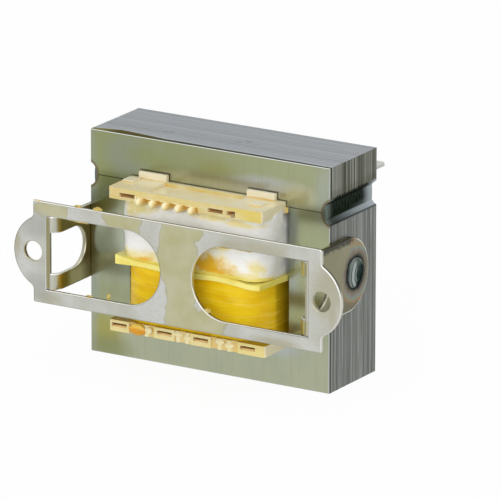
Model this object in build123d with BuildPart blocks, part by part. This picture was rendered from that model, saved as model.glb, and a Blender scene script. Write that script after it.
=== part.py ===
from build123d import *
import os
from math import pi, sqrt

# Open-frame control transformer, all sizes in millimetres.
# The origin lies midway between the two mounting holes, on the bracket's mounting face.
# The mounting face looks towards -Y, the core stands behind it, and +Z is up.

# Core, stacked from E and I sheets
tongue_width = 22.0
leg_width = 11.0
window_width = 11.0
window_height = 33.0
yoke_height = 11.0
sheet_count = 43
sheet_pitch = 0.5
varnish_film = 0.02  # cured varnish between neighbouring sheets

# Seam welds across the joint between the E and I sheets
groove_radius = 3.24
groove_depth = 1.84
seam_fill = 0.55  # weld metal at the bottom of the groove
seam_crown = 0.15

# Mounting bracket, folded from one strap of sheet steel
standoff = 15.0  # mounting face to the core's front
strap_thick = 1.2
strap_length = 79.3
strap_height = 25.0
strap_corner = 0.5
hole_spacing = 79.4
hole_diameter = 4.8
ear_radius = 9.5
ear_margin = 5.4  # from a mounting hole's centre to the ear's tip
ear_blend = 1.2
bend_inside = 1.8
neutral_share = 0.4  # share of the strap's thickness inside the neutral line of the bend
tab_height = 18.1
tab_reach = 31.0  # mounting face to the tab's rounded end
shear_gap = 0.05  # between a tab's edge and the opening it was cut from
relief_height = 10.0  # D-shaped opening at the tab's root, clear of the mounting screw
relief_reach = 13.0
relief_margin = 0.8  # start of the bend that the opening leaves whole
score_depth = 0.25  # shallow groove pressed along the start of the bend

# Plug welds that hold the tabs to the sides of the core
plug_diameter = 7.0
plug_inset = 6.2  # from the tab's rounded end to the weld's centre
nugget_diameter = 7.8
nugget_rise = 0.8

# Bobbin, one moulding: a tube with three flanges and four terminal blocks
tongue_clearance = 0.25
tube_wall = 1.1
flange_thick = 1.4
flange_side_gap = 0.4  # between a flange and the sides of the core's windows
head_gap = 0.1  # between the top flange and the I sheets
face_gap = 0.1  # between a block and the core's face
upper_room = 15.3  # height of the upper winding space
middle_flange_thick = 1.2
middle_flange_reach = 9.9  # in front of and behind the core
middle_flange_taper = 1.7  # the flange narrows by this much on each side towards its edge
block_overhang = 1.35  # past the flange, over the face of the core
front_top_reach = 11.0
front_bottom_reach = 10.1
rear_reach = 11.0
front_top_half = 21.1
other_block_half = 21.5
block_corner = 0.6
seat_chamfer = 1.6  # at a block's ends, beside the core
lug_centre = 14.9
lug_width = 7.6
lug_thick = 1.2
lug_rise = 1.75
tray_half = 11.1
tray_wall = 1.3
tray_depth = 0.75
pad_size = 3.0  # low wire rests on the front top block
pad_rise = 0.5
pad_places = ((-19.0, 4.0), (17.1, 5.8))  # along X, and in front of the core

# Terminal slots in the blocks, with wire knobs between them
slot_width = 4.1
slot_height = 0.95
slot_depth = 6.0
slot_inset = 1.2  # from a flange's winding side to the middle of the slots
slot_centres = (-18.75, -6.2, 3.85, 16.75)
front_top_slots = ((-15.9, 4.2), (8.4, 4.1), (12.6, 2.2))  # centre along X, and width
keyway_width = 1.1  # downward leg at the end of the narrow slot
keyway_drop = 1.0
frame_margin = 0.75  # width of the frame that stands proud round each slot
frame_rise = 0.45
knob_radius = 1.0
knob_pair_gap = 2.6  # between the two knobs of each pair

# Row of wire fingers under the front top block, pointing forward
finger_radius = 1.15
finger_pitch = 3.6
finger_count = 5
finger_row_centre = -5.0
finger_level = 0.3  # from the winding space to the fingers' axes
finger_proud = 0.6  # in front of the block's face
finger_round = 1.0
finger_notch = 1.2  # depth of the recess that the fingers stand in
finger_root = 0.4  # from the recess into the block
lip_thick = 1.6  # block's front lip above the recess

# Windings and the wraps over them
primary_build = 7.05
paper_wrap = 0.9
secondary_build = 7.25
tape_wrap = 0.5
coil_corner = 8.0
coil_end_gap = 0.1

# Push-on blade terminals
blade_width = 6.35
blade_thick = 0.8
blade_length = 8.0
neck_width = 3.8
neck_length = 4.5
root_length = 5.5  # pressed into the slot
tip_chamfer = 0.8
detent_diameter = 1.7
detent_from_tip = 4.0

# Levels and places that follow from the sizes above
core_width = tongue_width + 2 * (window_width + leg_width)
core_height = window_height + 2 * yoke_height
core_depth = sheet_count * sheet_pitch - varnish_film
core_side = core_width / 2
core_front = standoff
core_back = core_front + core_depth
core_middle = (core_front + core_back) / 2
joint_level = window_height / 2  # where the E and I sheets meet
window_floor = -window_height / 2

tube_width = tongue_width + 2 * (tongue_clearance + tube_wall)
tube_depth = core_depth + 2 * (tongue_clearance + tube_wall)
bobbin_floor = window_floor
bobbin_top = joint_level - head_gap
flange_half = tongue_width / 2 + window_width - flange_side_gap
upper_ceiling = bobbin_top - flange_thick  # winding side of the top flange
lower_floor = bobbin_floor + flange_thick  # winding side of the bottom flange
middle_flange_top = upper_ceiling - upper_room
middle_flange_floor = middle_flange_top - middle_flange_thick
top_slot_level = upper_ceiling + slot_inset
bottom_slot_level = lower_floor - slot_inset

bend_outside = bend_inside + strap_thick
bend_line = core_side + bend_outside
tab_radius = tab_height / 2
tab_centre = tab_reach - tab_radius  # centre of the tab's rounded end
tab_flat_length = pi / 2 * (bend_inside + neutral_share * strap_thick) + tab_reach - bend_outside
opening_tip = bend_line - tab_flat_length  # where the flat tab ended before it was bent
opening_radius = tab_radius + shear_gap
plug_place = tab_reach - plug_inset


def wall(y):
    """Upright plane across the object at y, whose outward side faces -Y."""
    return Plane.XZ.offset(-y)


def side_wall(x):
    """Upright plane along the object at x, with Y to the right."""
    return Plane.YZ.offset(x)


# One E sheet and one I sheet, at the front of their stacks
groove_centre = core_side - groove_depth + groove_radius

with BuildPart() as e_sheet:
    with BuildSketch(wall(core_front)):
        with Locations((0, (joint_level - core_height / 2) / 2)):
            Rectangle(core_width, joint_level + core_height / 2)
        with GridLocations(tongue_width + window_width, 0, 2, 1):
            Rectangle(window_width, window_height, mode=Mode.SUBTRACT)
        with Locations((-groove_centre, joint_level), (groove_centre, joint_level)):
            Circle(groove_radius, mode=Mode.SUBTRACT)
    extrude(amount=varnish_film - sheet_pitch)

with BuildPart() as i_sheet:
    with BuildSketch(wall(core_front)):
        with Locations((0, joint_level + yoke_height / 2)):
            Rectangle(core_width, yoke_height)
        with Locations((-groove_centre, joint_level), (groove_centre, joint_level)):
            Circle(groove_radius, mode=Mode.SUBTRACT)
    extrude(amount=varnish_film - sheet_pitch)

# The two stacks, sheet by sheet
sheet_places = [(0, sheet * sheet_pitch, 0) for sheet in range(sheet_count)]

with BuildPart() as e_laminations:
    with Locations(*sheet_places):
        add(e_sheet.part)

with BuildPart() as i_laminations:
    with Locations(*sheet_places):
        add(i_sheet.part)


def seam_weld(side):
    """Weld bead along the bottom of the groove on one side of the core."""
    root = side * (core_side - groove_depth)
    rim = root + side * seam_fill
    half_height = sqrt(groove_radius**2 - (groove_radius - seam_fill) ** 2)
    upper = (rim, joint_level + half_height)
    lower = (rim, joint_level - half_height)
    with BuildPart() as bead:
        with BuildSketch(wall(core_front)):
            with BuildLine():
                ThreePointArc(upper, (root, joint_level), lower)
                ThreePointArc(lower, (rim + side * seam_crown, joint_level), upper)
            make_face()
        extrude(amount=-core_depth)
    return bead.part


# Bracket: strap with rounded ears, and a tab bent back from each opening
with BuildPart() as bracket:
    with BuildSketch(wall(0)) as strap:
        Rectangle(strap_length, strap_height)
        fillet(strap.vertices(), strap_corner)
        ear_centre = hole_spacing / 2 + ear_margin - ear_radius
        with GridLocations(2 * ear_centre, 0, 2, 1):
            Circle(ear_radius)
        ear_roots = strap.vertices().filter_by(lambda v: abs(v.Y) < ear_radius)
        fillet(ear_roots, ear_blend)
        with GridLocations(hole_spacing, 0, 2, 1):
            Circle(hole_diameter / 2, mode=Mode.SUBTRACT)
        for side in (-1, 1):
            round_centre = side * (opening_tip + opening_radius)
            with Locations((round_centre, 0)):
                Circle(opening_radius, mode=Mode.SUBTRACT)
            with Locations(((round_centre + side * bend_line) / 2, 0)):
                Rectangle(abs(side * bend_line - round_centre), 2 * opening_radius, mode=Mode.SUBTRACT)
    extrude(amount=-strap_thick)

    for side in (-1, 1):
        # Quarter bend at the opening's outer edge
        with BuildSketch(Plane.XY.offset(-tab_radius)):
            with BuildLine():
                outer = CenterArc((side * bend_line, bend_outside), bend_outside, 270, -90 * side)
                inner = CenterArc((side * bend_line, bend_outside), bend_inside, 270, -90 * side)
                Line(outer @ 0, inner @ 0)
                Line(outer @ 1, inner @ 1)
            make_face()
        extrude(amount=tab_height)
        # Flat tab with its round end, lying on the core's side
        with BuildSketch(side_wall(side * core_side)):
            with Locations(((bend_outside + tab_centre) / 2, 0)):
                Rectangle(tab_centre - bend_outside, tab_height)
            with Locations((tab_centre, 0)):
                Circle(tab_radius)
            with Locations((plug_place, 0)):
                Circle(plug_diameter / 2, mode=Mode.SUBTRACT)
        extrude(amount=side * strap_thick)
        # D-shaped relief at the root, cut through the bend
        with BuildSketch(side_wall(side * (bend_line - relief_margin))):
            relief_radius = relief_height / 2
            relief_centre = relief_reach - relief_radius
            with Locations((relief_centre / 2, 0)):
                Rectangle(relief_centre, relief_height)
            with Locations((relief_centre, 0)):
                Circle(relief_radius)
        extrude(amount=side * (relief_margin - bend_outside), mode=Mode.SUBTRACT)
        # Groove along the start of the bend
        with BuildSketch(wall(0)):
            with Locations((side * (bend_line - relief_margin / 2), 0)):
                Rectangle(relief_margin, tab_height)
        extrude(amount=-score_depth, mode=Mode.SUBTRACT)


def plug_weld(side):
    """Domed weld nugget that fills the hole in a tab and spreads over its rim."""
    tab_face = core_side + strap_thick
    with BuildPart() as nugget:
        with BuildSketch(Plane.XY):
            with BuildLine():
                rim = (side * tab_face, plug_place + nugget_diameter / 2)
                crown = (side * (tab_face + nugget_rise), plug_place)
                Polyline(
                    crown,
                    (side * core_side, plug_place),
                    (side * core_side, plug_place + plug_diameter / 2),
                    (side * tab_face, plug_place + plug_diameter / 2),
                    rim,
                )
                TangentArc(crown, rim, tangent=(0, 1))
            make_face()
        revolve(axis=Axis((0, plug_place, 0), (1, 0, 0)))
    return nugget.part


def terminal_block(up, seat, edge, half_width, slots, knobs=()):
    """Block on an end flange, from its seat on the core's face to its outer edge along Y."""
    out = 1 if edge > seat else -1
    inner_level = upper_ceiling if up > 0 else lower_floor
    outer_level = inner_level + up * (flange_thick + block_overhang)
    slot_level = top_slot_level if up > 0 else bottom_slot_level
    with BuildPart() as block:
        with BuildSketch(Plane.XY.offset(inner_level)) as plan:
            with Locations((0, (seat + edge) / 2)):
                Rectangle(2 * half_width, abs(edge - seat))
            rows = plan.vertices().group_by(Axis.Y)
            fillet(rows[-1 if out > 0 else 0], block_corner)
            chamfer(rows[0 if out > 0 else -1], seat_chamfer)
        extrude(amount=outer_level - inner_level)
        # Tray for the winding's ends
        with BuildSketch(Plane.XY.offset(outer_level)):
            with Locations((0, (seat + edge) / 2)):
                Rectangle(2 * tray_half, abs(edge - seat) - 2 * tray_wall)
        extrude(amount=-up * tray_depth, mode=Mode.SUBTRACT)
        # Lugs that bear on the core's face
        with BuildSketch(Plane.XY.offset(outer_level)):
            with Locations((0, seat + out * lug_thick / 2)):
                with GridLocations(2 * lug_centre, 0, 2, 1):
                    Rectangle(lug_width, lug_thick)
        extrude(amount=up * lug_rise)
        # Terminal slots
        with BuildSketch(wall(edge)):
            for centre, width in slots:
                with Locations((centre, slot_level)):
                    Rectangle(width, slot_height)
        extrude(amount=out * slot_depth, mode=Mode.SUBTRACT)
        # Face set back between the slots' frames, with round wire knobs standing there
        if knobs:
            ordered = sorted(slots)
            with BuildSketch(wall(edge)):
                for (left, left_width), (right, right_width) in zip(ordered, ordered[1:]):
                    start = left + left_width / 2 + frame_margin
                    end = right - right_width / 2 - frame_margin
                    with Locations(((start + end) / 2, (inner_level + outer_level) / 2)):
                        Rectangle(end - start, abs(outer_level - inner_level))
            extrude(amount=out * frame_rise, mode=Mode.SUBTRACT)
            with BuildSketch(Plane.XY.offset(inner_level)):
                with Locations(*[(x, edge - out * knob_radius) for x in knobs]):
                    Circle(knob_radius)
            extrude(amount=outer_level - inner_level)
    return block.part


front_seat = core_front - face_gap
rear_seat = core_back + face_gap
front_top_edge = core_front - front_top_reach
front_bottom_edge = core_front - front_bottom_reach
rear_edge = core_back + rear_reach
block_top = bobbin_top + block_overhang

plain_slots = [(centre, slot_width) for centre in slot_centres]
turned_slots = [(-centre, slot_width) for centre in slot_centres]
slot_gaps = [(first + second) / 2 for first, second in zip(slot_centres, slot_centres[1:])]
plain_knobs = [middle + step * knob_pair_gap / 2 for middle in slot_gaps for step in (-1, 1)]
turned_knobs = [-x for x in plain_knobs]

front_bottom_block = terminal_block(
    -1, front_seat, front_bottom_edge, other_block_half, plain_slots, plain_knobs
)
rear_top_block = terminal_block(1, rear_seat, rear_edge, other_block_half, turned_slots, turned_knobs)
rear_bottom_block = terminal_block(-1, rear_seat, rear_edge, other_block_half, turned_slots, turned_knobs)
plain_front_block = terminal_block(1, front_seat, front_top_edge, front_top_half, front_top_slots)

# Front top block: its row of wire fingers stands in a recess under a lip
lip_floor = block_top - lip_thick
row_start = finger_row_centre - finger_pitch * (finger_count - 1) / 2
row_places = [row_start + finger * finger_pitch for finger in range(finger_count)]
row_length = finger_pitch * (finger_count - 1) + 2 * finger_radius
narrow_centre, narrow_width = front_top_slots[-1]


def wire_finger(x):
    """Round finger at x, lying along Y, with a rounded tip in front of the block."""
    tip = front_top_edge - finger_proud
    with BuildPart() as finger:
        with BuildSketch(wall(tip)):
            with Locations((x, upper_ceiling + finger_level)):
                Circle(finger_radius)
        extrude(amount=-(finger_proud + finger_notch + finger_root))
        fillet(finger.edges().group_by(Axis.Y)[0], finger_round)
    return finger.part


fingers = [wire_finger(x) for x in row_places]

with BuildPart() as front_top_block:
    add(plain_front_block)
    # Keyway at the end of the narrow slot
    with BuildSketch(wall(front_top_edge)):
        with Locations((narrow_centre + (narrow_width - keyway_width) / 2, top_slot_level)):
            Rectangle(keyway_width, keyway_drop, align=(Align.CENTER, Align.MAX))
    extrude(amount=-slot_depth, mode=Mode.SUBTRACT)
    with BuildSketch(Plane.XY.offset(upper_ceiling)):
        with Locations((finger_row_centre, front_top_edge)):
            Rectangle(row_length, finger_notch, align=(Align.CENTER, Align.MIN))
    extrude(amount=lip_floor - upper_ceiling, mode=Mode.SUBTRACT)
    add(fingers)
    # Low wire rests on top
    with BuildSketch(Plane.XY.offset(block_top)):
        with Locations(*[(x, core_front - reach) for x, reach in pad_places]):
            Rectangle(pad_size, pad_size)
    extrude(amount=pad_rise)

with BuildPart() as bobbin:
    # Tube round the tongue
    with BuildSketch(Plane.XY.offset(bobbin_floor)):
        with Locations((0, core_middle)):
            Rectangle(tube_width, tube_depth)
    extrude(amount=bobbin_top - bobbin_floor)
    # End flanges inside the windows
    for low in (bobbin_floor, upper_ceiling):
        with BuildSketch(Plane.XY.offset(low)):
            with Locations((0, core_middle)):
                Rectangle(2 * flange_half, rear_seat - front_seat)
        extrude(amount=flange_thick)
    # Middle flange, narrower towards its front and rear edges
    with BuildSketch(Plane.XY.offset(middle_flange_floor)):
        with BuildLine():
            edge_half = flange_half - middle_flange_taper
            Polyline(
                (-edge_half, core_front - middle_flange_reach),
                (edge_half, core_front - middle_flange_reach),
                (flange_half, core_front),
                (flange_half, core_back),
                (edge_half, core_back + middle_flange_reach),
                (-edge_half, core_back + middle_flange_reach),
                (-flange_half, core_back),
                (-flange_half, core_front),
                close=True,
            )
        make_face()
    extrude(amount=middle_flange_thick)
    add(front_top_block.part)
    add([front_bottom_block, rear_top_block, rear_bottom_block])
    # Bore for the tongue
    with BuildSketch(Plane.XY.offset(bobbin_floor)):
        with Locations((0, core_middle)):
            Rectangle(tube_width - 2 * tube_wall, tube_depth - 2 * tube_wall)
    extrude(amount=bobbin_top - bobbin_floor, mode=Mode.SUBTRACT)


def coil_ring(low, high, inner_build, outer_build):
    """Layer round the tube between two thicknesses, with the round corners of wound wire."""
    with BuildPart() as ring:
        with BuildSketch(Plane.XY.offset(low)):
            with Locations((0, core_middle)):
                RectangleRounded(tube_width + 2 * outer_build, tube_depth + 2 * outer_build, coil_corner)
                if inner_build > 0:
                    inner_corner = coil_corner - outer_build + inner_build
                    RectangleRounded(
                        tube_width + 2 * inner_build,
                        tube_depth + 2 * inner_build,
                        inner_corner,
                        mode=Mode.SUBTRACT,
                    )
                else:
                    Rectangle(tube_width, tube_depth, mode=Mode.SUBTRACT)
        extrude(amount=high - low)
    return ring.part


def blade(up, centre):
    """Push-on blade whose root sits in a slot of a rear block."""
    slot_level = top_slot_level if up > 0 else bottom_slot_level
    shoulder = rear_edge + neck_length
    tip = shoulder + blade_length
    with BuildPart() as terminal:
        with BuildSketch(Plane.XY.offset(slot_level - blade_thick / 2)) as outline:
            with Locations((centre, (shoulder + tip) / 2)):
                Rectangle(blade_width, blade_length)
            chamfer(outline.vertices().group_by(Axis.Y)[-1], tip_chamfer)
            with Locations((centre, (rear_edge - root_length + shoulder) / 2)):
                Rectangle(neck_width, root_length + neck_length)
            with Locations((centre, tip - detent_from_tip)):
                Circle(detent_diameter / 2, mode=Mode.SUBTRACT)
        extrude(amount=blade_thick)
    return terminal.part


right_outer, right_inner, left_inner, left_outer = [centre for centre, width in turned_slots]
pieces = {
    "e_laminations": e_laminations.part,
    "i_laminations": i_laminations.part,
    "seam_weld_left": seam_weld(-1),
    "seam_weld_right": seam_weld(1),
    "mounting_bracket": bracket.part,
    "bracket_weld_left": plug_weld(-1),
    "bracket_weld_right": plug_weld(1),
    "bobbin": bobbin.part,
    "primary_winding": coil_ring(middle_flange_top, upper_ceiling - coil_end_gap, 0, primary_build),
    "primary_wrap": coil_ring(
        middle_flange_top, upper_ceiling - coil_end_gap, primary_build, primary_build + paper_wrap
    ),
    "secondary_winding": coil_ring(lower_floor, middle_flange_floor - coil_end_gap, 0, secondary_build),
    "secondary_wrap": coil_ring(
        lower_floor, middle_flange_floor - coil_end_gap, secondary_build, secondary_build + tape_wrap
    ),
    "primary_blade_left": blade(1, left_outer),
    "primary_blade_right": blade(1, right_outer),
    "secondary_blade_left": blade(-1, left_inner),
    "secondary_blade_right": blade(-1, right_inner),
}

os.makedirs("parts", exist_ok=True)
for name, piece in pieces.items():
    piece.label = name
    export_step(piece, f"parts/{name}.step")
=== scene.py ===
"""Control transformer: the finish of every surface, and the detail that the dipped and welded unit shows.

Sizes and places are in millimetres in the part's own frame, and turn into metres when a mesh is written.
"""
import random
from math import cos, hypot, pi, radians, sin, sqrt

import bmesh
import bpy
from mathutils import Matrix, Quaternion, Vector, noise


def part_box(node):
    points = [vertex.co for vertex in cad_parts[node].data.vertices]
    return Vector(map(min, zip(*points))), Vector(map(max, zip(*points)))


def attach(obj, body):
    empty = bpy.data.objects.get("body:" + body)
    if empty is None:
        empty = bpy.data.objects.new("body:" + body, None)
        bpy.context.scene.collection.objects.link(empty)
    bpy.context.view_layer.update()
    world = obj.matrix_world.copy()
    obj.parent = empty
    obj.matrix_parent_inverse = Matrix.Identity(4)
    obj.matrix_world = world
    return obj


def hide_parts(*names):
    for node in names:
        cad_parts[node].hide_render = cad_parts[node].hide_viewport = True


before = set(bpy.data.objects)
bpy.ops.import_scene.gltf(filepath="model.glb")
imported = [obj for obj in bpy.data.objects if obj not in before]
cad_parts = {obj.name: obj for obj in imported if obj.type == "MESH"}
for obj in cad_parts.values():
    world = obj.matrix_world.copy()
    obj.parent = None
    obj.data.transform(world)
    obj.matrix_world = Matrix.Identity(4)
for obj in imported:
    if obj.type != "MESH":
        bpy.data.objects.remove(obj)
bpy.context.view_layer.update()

MM = 0.001
WELD_DISTANCE = 0.002
TOUCH = 0.01  # how near a corner lies to a plane that it is on
THROUGH = 60.0  # radius that reaches through the whole part
FLAT_ANGLE = radians(0.5)
SHARP_ANGLE = radians(32)


def box_of(node):
    """Lowest and highest corner of a solid, in millimetres."""
    low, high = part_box(node)
    return low / MM, high / MM


# Places taken from the solids
e_low, e_high = box_of("e_laminations")
i_low, i_high = box_of("i_laminations")
bead_low = box_of("seam_weld_right")[0]
nugget_low, nugget_high = box_of("bracket_weld_right")
bobbin_low, bobbin_high = box_of("bobbin")
paper_low, paper_high = box_of("primary_wrap")
tape_low, tape_high = box_of("secondary_wrap")

CORE_FRONT = e_low.y
CORE_BACK = e_high.y
CORE_SIDE = e_high.x
CORE_TOP = i_high.z
CORE_FLOOR = e_low.z
JOINT_LEVEL = i_low.z
SHEET_COUNT = 43
SHEET_PITCH = (CORE_BACK - CORE_FRONT) / SHEET_COUNT
GROOVE_RADIUS = 3.24
GROOVE_CENTRE = bead_low.x + GROOVE_RADIUS
STRAP_THICK = 1.2
BEND_LINE = 36.0  # along X, where a tab starts to bend back from the strap
SCORE_WIDTH = 0.8
TAB_HALF = 9.0  # just within a tab's upper and lower edges
OPENING_HALF = 5.2  # along Z, where the legs beside a tab's opening begin
HOLE_PLACE = 39.7  # along X, the mounting holes' middles
HOLE_HALF = 2.8  # to just past a mounting hole's rounded rim
TAB_FACE = CORE_SIDE + STRAP_THICK
PLUG_Y = (nugget_low.y + nugget_high.y) / 2
PLUG_NECK = 3.45
FLANGE_LOW = tape_high.z + 0.1
FLANGE_HIGH = paper_low.z
FRONT_TOP_FACE = 4.0  # along Y, the outer faces of the terminal blocks
FRONT_LOW_FACE = 4.9
REAR_FACE = bobbin_high.y
BLOCK_HALVES = (21.1, 21.5)
BLOCK_TOP = 17.75
LUG_PLACE = 14.9
LUG_HALF = 3.8
SLOT_LEVELS = (16.2, -16.3)
LOW_SLOTS = (-18.75, -6.2, 3.85, 16.75)  # along X, the middles of the front bottom slots
FINGER_ROW = -5.0  # along X, the middle of the row of wire fingers
FINGER_PITCH = 3.6
FINGER_LEVEL = 15.3
FINGER_RADIUS = 1.16  # just past a solid finger's own
KNOB_GAPS = ((-12.48, 3.47), (-1.18, 2.22), (10.3, 3.65))  # middle and half of the faces set back
KNOB_STEP = 1.3  # from the middle of a gap to either knob

# Sizes of the added detail
SIDE_UNEVEN = 0.04  # how far a sheet may stand back at the sides, and at the top or bottom
LEVEL_UNEVEN = 0.03
SHEET_RIM = 0.12
STRAP_ROUND = 0.3
MOULDED_ROUND = 0.25
LONG_EDGE = 0.9  # shortest edge of the moulding that is rounded
BLADE_ROUND = 0.1
FLANGE_CLEAR = 1.5  # from the core to where the middle flange begins to bend
FLANGE_REACH = 8.4
RIPPLE_HEIGHT = 0.012
RIPPLE_PITCH = 1.3
PLUG_GAP = 0.02
FINGER_ROOT = 4.45  # along Y, where the fingers begin to slim
FINGER_SLIM = 0.89  # of the solid finger's radius
FINGER_REACH = 0.6  # from the block's face to the middle of a finger's round tip
FINGER_TIP = 0.96  # radius of the tip
TAPE_EDGES = (0.22, 0.45, 0.67)  # shares of the height where a turn of tape ends
TAPE_STEP = 0.045
TAPE_SLANT = 0.03
TAPE_WAVE = (0.11, 0.07)  # of the slant, in radians a millimetre along X and Y
TAPE_SHADOW_LINE = -21.75  # along X, the painted shadow line between the tape and the core
WIRE_PITCH = 0.5
FREE_PAPER = CORE_FRONT - 1.2  # along Y, the wrap stands free in front of it
FLOOR_GAP = 0.02


# Mesh helpers

def unit(value):
    """Value held between 0 and 1."""
    return min(1.0, max(0.0, value))


def copy_of(node):
    """Welded copy of a solid's mesh in millimetres, with its flat faces joined."""
    bm = bmesh.new()
    bm.from_mesh(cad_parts[node].data)
    bmesh.ops.scale(bm, vec=(1 / MM,) * 3, verts=bm.verts)
    bmesh.ops.remove_doubles(bm, verts=bm.verts, dist=WELD_DISTANCE)
    bmesh.ops.dissolve_limit(bm, angle_limit=FLAT_ANGLE, verts=bm.verts, edges=bm.edges)
    return bm


def corner_edges(bm, wanted=lambda edge: True):
    """Outward corners of a mesh that a test wants."""
    return [
        edge
        for edge in bm.edges
        if edge.is_manifold
        and edge.is_convex
        and edge.calc_face_angle() > SHARP_ANGLE
        and wanted(edge)
    ]


def round_edges(bm, edges, radius, segments=2):
    """Rounds these edges and gives back the new faces."""
    made = bmesh.ops.bevel(
        bm,
        geom=edges,
        offset=radius,
        offset_type="OFFSET",
        segments=segments,
        profile=0.5,
        affect="EDGES",
        clamp_overlap=False,
    )
    return made["faces"]


def new_object(name, data):
    made = bpy.data.objects.new(name, data)
    bpy.context.scene.collection.objects.link(made)
    return made


def mesh_object(bm, name, material):
    """Object in the scene with this mesh and material."""
    mesh = bpy.data.meshes.new(name)
    bm.to_mesh(mesh)
    bm.free()
    mesh.materials.append(material)
    return new_object(name, mesh)


def write_piece(bm, name, material, stands_for=()):
    """Makes the mesh a piece of the object, in metres, which may stand for some of the solids."""
    bmesh.ops.scale(bm, vec=(MM,) * 3, verts=bm.verts)
    for face in bm.faces:
        face.smooth = True
    for edge in bm.edges:
        edge.smooth = not edge.is_manifold or edge.calc_face_angle() < SHARP_ANGLE
    piece = mesh_object(bm, name, material)
    even = piece.modifiers.new("even_normals", "WEIGHTED_NORMAL")
    even.keep_sharp = True
    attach(piece, "root")
    if stands_for:
        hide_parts(*stands_for)


def skin(rings, capped):
    """Mesh between neighbouring rings of points, with closed ends or with its last ring on its first."""
    bm = bmesh.new()
    loops = [[bm.verts.new(point) for point in ring] for ring in rings]
    for first, second in zip(loops, loops[1:]):
        for here in range(len(first)):
            after = (here + 1) % len(first)
            bm.faces.new((first[here], first[after], second[after], second[here]))
    if capped:
        bm.faces.new(loops[0])
        bm.faces.new(loops[-1])
    else:
        bmesh.ops.remove_doubles(bm, verts=bm.verts, dist=WELD_DISTANCE)
    bmesh.ops.recalc_face_normals(bm, faces=bm.faces)
    return bm


# Material helpers

def srgb(digits):
    """Linear colour of six hex digits."""
    shares = [int(digits[place:place + 2], 16) / 255 for place in (0, 2, 4)]
    return tuple(s / 12.92 if s <= 0.04045 else ((s + 0.055) / 1.055) ** 2.4 for s in shares) + (1.0,)


class Value:
    """Number or colour that a node gives, which plain arithmetic takes further."""

    def __init__(self, tree, socket):
        self.tree = tree
        self.socket = socket

    def math(self, operation, other=0.0):
        return add_node(self.tree, "Math", {0: self, 1: other}, operation=operation)

    def __add__(self, other):
        return self.math("ADD", other)

    def __sub__(self, other):
        return self.math("SUBTRACT", other)

    def __rsub__(self, other):
        return add_node(self.tree, "Math", {0: other, 1: self}, operation="SUBTRACT")

    def __mul__(self, other):
        return self.math("MULTIPLY", other)

    def __abs__(self):
        return self.math("ABSOLUTE")

    def largest(self, other):
        return self.math("MAXIMUM", other)

    def smallest(self, other):
        return self.math("MINIMUM", other)

    def step(self, start, end):
        """Soft step of the value, 0 at start and 1 at end."""
        ends = {0: self, 1: start, 2: end}
        return add_node(self.tree, "MapRange", ends, interpolation_type="SMOOTHSTEP", clamp=True)

    def band(self, middle, half, soft):
        """1 within half of the middle, falling to 0 over the soft margin."""
        return abs(self - middle).step(half + soft, half)

    def mix(self, first, second):
        """Mix of two colours, each a value or six hex digits, by this share of the second."""
        first, second = [srgb(tone) if isinstance(tone, str) else tone for tone in (first, second)]
        return add_node(self.tree, "Mix", {0: self, 6: first, 7: second}, 2, data_type="RGBA")

    def blend(self, start, end, first, second):
        """Colour that goes from the first to the second as the value goes from start to end."""
        return self.step(start, end).mix(first, second)

    def covered(self, tone, share, *more):
        """This colour with a tone laid over it, as strong as the product of the shares."""
        for other in more:
            share = share * other
        return share.mix(self, tone)


def add_node(tree, kind, inputs, output=0, **settings):
    """Adds a node with these inputs and settings, and gives back one of its outputs if it has any."""
    made = tree.nodes.new("ShaderNode" + kind)
    for setting, value in settings.items():
        setattr(made, setting, value)
    for socket, value in inputs.items():
        if isinstance(value, Value):
            tree.links.new(value.socket, made.inputs[socket])
        else:
            made.inputs[socket].default_value = value
    return Value(tree, made.outputs[output]) if made.outputs else None


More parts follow.
